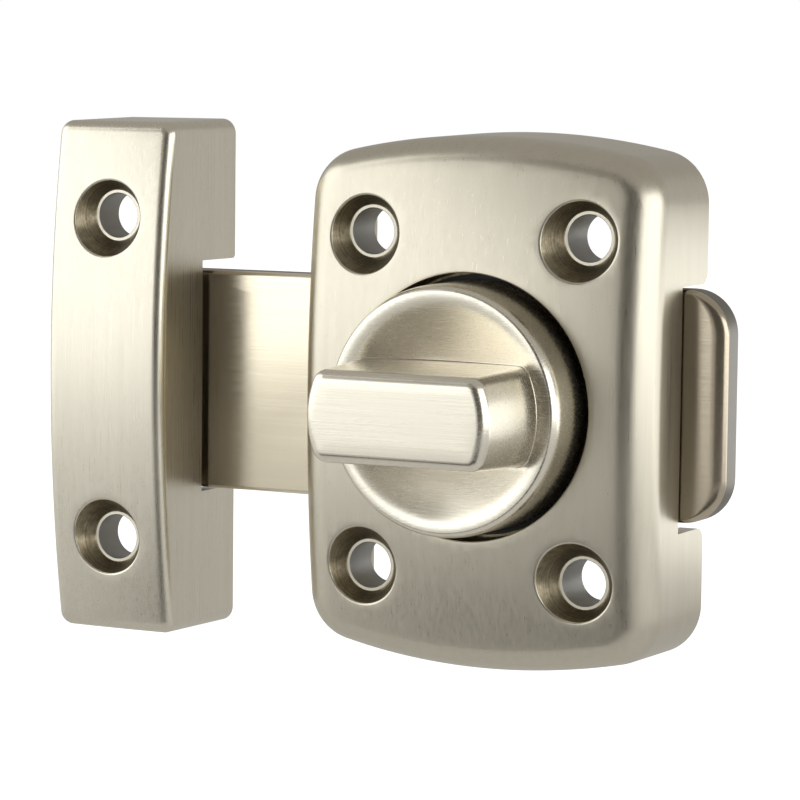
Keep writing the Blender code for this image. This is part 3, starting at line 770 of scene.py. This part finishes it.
def brushed_metal(name, light, dark, roughness, fine, broad, bump, pits):
    """Brushed plating: its hairlines run along the axis that fine and broad stretch least."""
    material, tree, shader = new_material(name)
    lines = add_node(tree, "ShaderNodeGroup", node_tree=brushing)
    feed(tree, lines, Fine_Stretch=fine, Broad_Stretch=broad)
    pitting = add_node(tree, "ShaderNodeGroup", node_tree=pits_group)
    feed(tree, pitting, Scale=1300.0, Amount=pits)

    both = math_node(tree, "ADD", math_node(tree, "MULTIPLY", lines.outputs["Fine"], 0.55),
                     math_node(tree, "MULTIPLY", lines.outputs["Broad"], 0.45))
    tone = ranged(tree, both, (0.32, 0.68))
    colour = mixed_colour(tree, tone, (*dark, 1.0), (*light, 1.0))
    gloss = ranged(tree, lines.outputs["Fine"], (0.3, 0.7), (roughness - 0.05, roughness + 0.05))
    dents = math_node(tree, "MULTIPLY", pitting.outputs["Pits"], 2.0)
    height = math_node(tree, "SUBTRACT", lines.outputs["Fine"], dents)
    feed(tree, shader, Base_Color=colour, Roughness=gloss, Metallic=1.0,
         Normal=relief_from(tree, height, bump))
    return material


def paint_shade_fade(material, colour, start, end, axis="X"):
    """Paint shade into a material: fade its colour into a darker one between two places along an
    axis.
    """
    tree = material.node_tree
    base = tree.nodes["Principled BSDF"].inputs["Base Color"]
    place = feed(tree, add_node(tree, "ShaderNodeSeparateXYZ"), Vector=object_place(tree))
    share = ranged(tree, place.outputs[axis], (start, end))
    tree.links.new(mixed_colour(tree, share, base.links[0].from_socket, (*colour, 1.0)), base)


def plain_material(name, colour, metallic, roughness, grain):
    """A plain finish with a fine even grain."""
    material, tree, shader = new_material(name)
    noise = stretched_noise(tree, (grain, grain, grain), 3.0, 0.6)
    shaded = [part * 0.8 for part in colour]
    tone = mixed_colour(tree, noise, (*shaded, 1.0), (*colour, 1.0))
    gloss = ranged(tree, noise, (0.0, 1.0), (roughness - 0.08, roughness + 0.08))
    feed(tree, shader, Base_Color=tone, Roughness=gloss, Metallic=metallic,
         Normal=relief_from(tree, noise, 0.01 * MM, strength=0.5))
    return material


brushing = brushing_group()
pits_group = pitting_group()
turning = turning_group()

TURNED_LIGHT = (0.42, 0.36, 0.245)
TURNED_DARK = (0.19, 0.155, 0.10)
FINE_GRAIN = 2500.0
COARSE_GRAIN = 1500.0

along_height = dict(fine=(6000.0, 6000.0, 45.0), broad=(1000.0, 1000.0, 12.0))
along_door = dict(fine=(45.0, 6000.0, 6000.0), broad=(12.0, 1000.0, 1000.0))
housing_nickel = brushed_metal("satin_nickel_housing", (0.64, 0.59, 0.48), (0.59, 0.545, 0.44),
                               0.32, bump=0.003 * MM, pits=0.42, **along_height)
keeper_nickel = brushed_metal("satin_nickel_keeper", (0.72, 0.67, 0.555), (0.67, 0.62, 0.51),
                              0.30, bump=0.003 * MM, pits=0.42, **along_height)
knob_nickel, knob_face_nickel_painted_shade = [
    brushed_metal(name, (0.83, 0.775, 0.65), (0.78, 0.725, 0.605), 0.25,
                  bump=0.005 * MM, pits=0.42, **along_door)
    for name in ("satin_nickel_knob", "satin_nickel_knob_face_painted_shade")]
# Painted shade: the knob's hollow darkens towards its floor and the grip's root
paint_shade_fade(knob_face_nickel_painted_shade, (0.58, 0.525, 0.43), -22.7 * MM, -21.2 * MM, "Y")
plate_nickel_painted_shade = brushed_metal("satin_nickel_plate_painted_shade", (0.83, 0.745, 0.575), (0.78, 0.695, 0.53),
                             0.22, bump=0.003 * MM, pits=0.40, **along_door)
# Painted shade: the plate darkens towards its right end and, more, next to the keeper's wall
paint_shade_fade(plate_nickel_painted_shade, (0.53, 0.455, 0.345), 12.0 * MM, 21.5 * MM)
paint_shade_fade(plate_nickel_painted_shade, (0.42, 0.365, 0.285), -32.0 * MM, -38.0 * MM)
sheared_edge = plain_material("sheared_plate_edge", (0.25, 0.23, 0.20), 1.0, 0.42, COARSE_GRAIN)
bored = plain_material("drilled_bores", (0.42, 0.405, 0.375), 1.0, 0.5, COARSE_GRAIN)
housing_turned = turned_metal("turned_housing_counterbores", (0.0, 0.0, AXIS_HEIGHT),
                              (SCREW_PITCH_ACROSS / 2, 0.0, SCREW_PITCH_UP / 2))
keeper_turned = turned_metal("turned_keeper_counterbores",
                             (KEEPER_X, 0.0, AXIS_HEIGHT + KEEPER_RISE),
                             (0.0, 0.0, SCREW_PITCH_UP / 2))


def on_knob_face(place):
    """1 for the knob's hollow and grip, which get painted shade, darker towards the floor of the
    hollow.
    """
    return int(math.hypot(place.x, place.y) < CREST_RADIUS)


def on_sheared_edge(place):
    """1 between the plate's chamfer at the back and its rolled edge at the front."""
    margin = 0.03 * MM
    back = PLATE_BACK + PLATE_CHAMFER
    front = PLATE_FRONT - PLATE_ROLL_DEPTH
    return int(back - margin < place.z < front + margin)


keep_piece("housing_casting", housing_bm(), "fixed", "housing",
           [housing_nickel, housing_turned, bored],
           finish_at=casting_finish(HOUSING_HOLES, HOUSING_THICKNESS, recess=True))
keep_piece("keeper_casting", keeper_bm(), "fixed", "keeper",
           [keeper_nickel, keeper_turned, bored], shift=(KEEPER_X, KEEPER_RISE),
           finish_at=casting_finish(KEEPER_HOLES, KEEPER_THICKNESS))
keep_piece("turn_knob_casting", knob_bm(), "turn_knob", "knob",
           [knob_nickel, knob_face_nickel_painted_shade], finish_at=on_knob_face)
keep_piece("sliding_bolt_plate", plate_bm(), "bolt", "bolt_plate",
           [plate_nickel_painted_shade, sheared_edge], finish_at=on_sheared_edge)

inner_finishes = {
    "crank_screw": plain_material("plain_steel", (0.56, 0.56, 0.57), 1.0, 0.32, FINE_GRAIN),
    "crank_washer": plain_material("washer_steel", (0.60, 0.60, 0.60), 1.0, 0.36, FINE_GRAIN),
    "crank_sleeve": plain_material("sleeve_bronze", (0.62, 0.46, 0.27), 1.0, 0.36, FINE_GRAIN),
    "friction_washer": plain_material("black_nylon", (0.025, 0.025, 0.025), 0.0, 0.5, FINE_GRAIN),
}
for node_name, finish in inner_finishes.items():
    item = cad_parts[node_name]
    item.data.materials.clear()
    item.data.materials.append(finish)

# Studio: camera

SENSOR_WIDTH = 36.0
PICTURE_WIDTH = 800
FOCAL_LENGTH_IN_PIXELS = 3330.1
CAMERA_DISTANCE = 0.3906
SOFTBOX_DISTANCE = 0.9


def facing(target, azimuth, elevation, roll, distance):
    """Matrix of a camera or lamp that faces the target from this azimuth to the front's right."""
    azimuth, elevation, roll = math.radians(azimuth), math.radians(elevation), math.radians(roll)
    back = Vector((math.sin(azimuth) * math.cos(elevation),
                   -math.cos(azimuth) * math.cos(elevation), math.sin(elevation)))
    right = (-back).cross(Vector((0.0, 0.0, 1.0))).normalized()
    up = right.cross(-back)
    turned_right = right * math.cos(roll) + up * math.sin(roll)
    turned_up = up * math.cos(roll) - right * math.sin(roll)
    turn = Matrix((turned_right, turned_up, back)).transposed().to_4x4()
    return Matrix.Translation(target + back * distance) @ turn


camera_data = bpy.data.cameras.new("camera")
camera_data.sensor_width = SENSOR_WIDTH
camera_data.lens = FOCAL_LENGTH_IN_PIXELS * SENSOR_WIDTH / PICTURE_WIDTH
camera_data.clip_start = 0.01
camera_data.clip_end = 20.0
camera = bpy.data.objects.new("camera", camera_data)
camera.matrix_world = facing(Vector((-0.01649, 0.0, AXIS_HEIGHT - 0.00142)),
                             27.043, 5.596, 0.63, CAMERA_DISTANCE)
bpy.context.scene.collection.objects.link(camera)
bpy.context.scene.camera = camera

# Studio: floor, cards, world and softboxes


def studio_card(name, size, place, colour, turn=None):
    """A flat card of the studio. Without a turn it lies on the floor."""
    mesh = bpy.data.meshes.new(name)
    bm = bmesh.new()
    bmesh.ops.create_grid(bm, x_segments=1, y_segments=1, size=0.5)
    bmesh.ops.scale(bm, verts=bm.verts, vec=(*size, 1.0))
    bm.to_mesh(mesh)
    bm.free()
    card = bpy.data.objects.new(name, mesh)
    card.matrix_world = Matrix.Translation(place) @ (turn or Matrix())
    bpy.context.scene.collection.objects.link(card)
    material, _, shader = new_material(name)
    shader.inputs["Base Color"].default_value = (*colour, 1.0)
    shader.inputs["Roughness"].default_value = 0.9
    mesh.materials.append(material)
    return card


def seen_directly(tree, rays):
    """1 where the camera sees a surface, also through glass."""
    return math_node(tree, "MAXIMUM", rays.outputs["Is Camera Ray"],
                     rays.outputs["Is Transmission Ray"])


FLOOR_HEIGHT = -60 * MM
SHADOW_CARD_COLOUR = (0.12, 0.115, 0.11)

floor = studio_card("floor", (8.0, 8.0), (0.0, 0.0, FLOOR_HEIGHT), (0.8, 0.8, 0.8))
floor_tree = floor.data.materials[0].node_tree
floor_shader = floor_tree.nodes["Principled BSDF"]
floor_rays = add_node(floor_tree, "ShaderNodeLightPath")
glow = math_node(floor_tree, "ADD",
                 math_node(floor_tree, "MULTIPLY", seen_directly(floor_tree, floor_rays), 0.75),
                 math_node(floor_tree, "MULTIPLY", floor_rays.outputs["Is Glossy Ray"], 0.05))
floor_shader.inputs["Emission Color"].default_value = (1.0, 1.0, 1.0, 1.0)
floor_tree.links.new(glow, floor_shader.inputs["Emission Strength"])

# The metal mirrors these cards, and the camera doesn't see them. The two dark cards lying on the
# floor are painted shadow: they stand in for shade on the floor in front.
for shadow_card_name, size, (across, along) in (("floor_shadow_card", (0.24, 0.07), (0.0, -0.15)),
                                          ("right_floor_shadow_card", (0.18, 0.095), (0.07, -0.2325))):
    shadow_card = studio_card(shadow_card_name, size, (across, along, FLOOR_HEIGHT + 1 * MM), SHADOW_CARD_COLOUR)
    shadow_card.visible_camera = False
standing = Matrix.Rotation(math.pi / 2, 4, "X")
slanting = Matrix.Rotation(math.radians(-40), 4, "Y") @ standing
for flag_name, place, turn, colour in (
        ("dark_flag", (0.25, -0.50, 0.19), standing, (0.14, 0.135, 0.13)),
        ("slanting_flag", (-0.18, -0.49, 0.49), slanting, (0.48, 0.465, 0.445))):
    flag = studio_card(flag_name, (0.50, 0.50), place, colour, turn)
    flag.visible_camera = False

world = bpy.data.worlds.new("studio")
bpy.context.scene.world = world
world.use_nodes = True
sky = world.node_tree
sky_rays = add_node(sky, "ShaderNodeLightPath")
room = mixed_colour(sky, seen_directly(sky, sky_rays),
                    (0.43, 0.42, 0.405, 1.0), (1.0, 1.0, 1.0, 1.0))
feed(sky, sky.nodes["Background"], Color=room, Strength=1.0)


def area_lamp(name, size, brightness, matrix):
    """A soft cool-white rectangle, as bright as seen from in front of it."""
    data = bpy.data.lights.new(name, "AREA")
    data.shape = "RECTANGLE"
    data.size, data.size_y = size
    data.energy = brightness * math.pi * size[0] * size[1]
    data.color = (0.93, 0.97, 1.0)
    lamp = bpy.data.objects.new(name, data)
    lamp.matrix_world = matrix
    bpy.context.scene.collection.objects.link(lamp)
    return lamp


for lamp_name, azimuth, elevation, roll, size, brightness in (
        ("left_softbox", -60.0, 6.0, 14.0, (1.70, 1.34), 1.5),
        ("right_softbox", 82.0, 1.0, 0.0, (1.10, 0.90), 1.95),
        ("behind_softbox", 150.0, 2.0, 0.0, (0.50, 0.80), 0.13)):
    area_lamp(lamp_name, size, brightness,
              facing(Vector((0.0, 0.0, AXIS_HEIGHT)), azimuth, elevation, roll, SOFTBOX_DISTANCE))
reflector = area_lamp("behind_right_reflector", (0.12, 0.045), 1.2,
                      Matrix.Translation((0.097, 0.05, 0.024))
                      @ Matrix.Rotation(math.radians(-12), 4, "Z")
                      @ Matrix.Rotation(math.radians(-90), 4, "X"))
reflector.visible_camera = False

bpy.context.scene.view_settings.view_transform = "Standard"
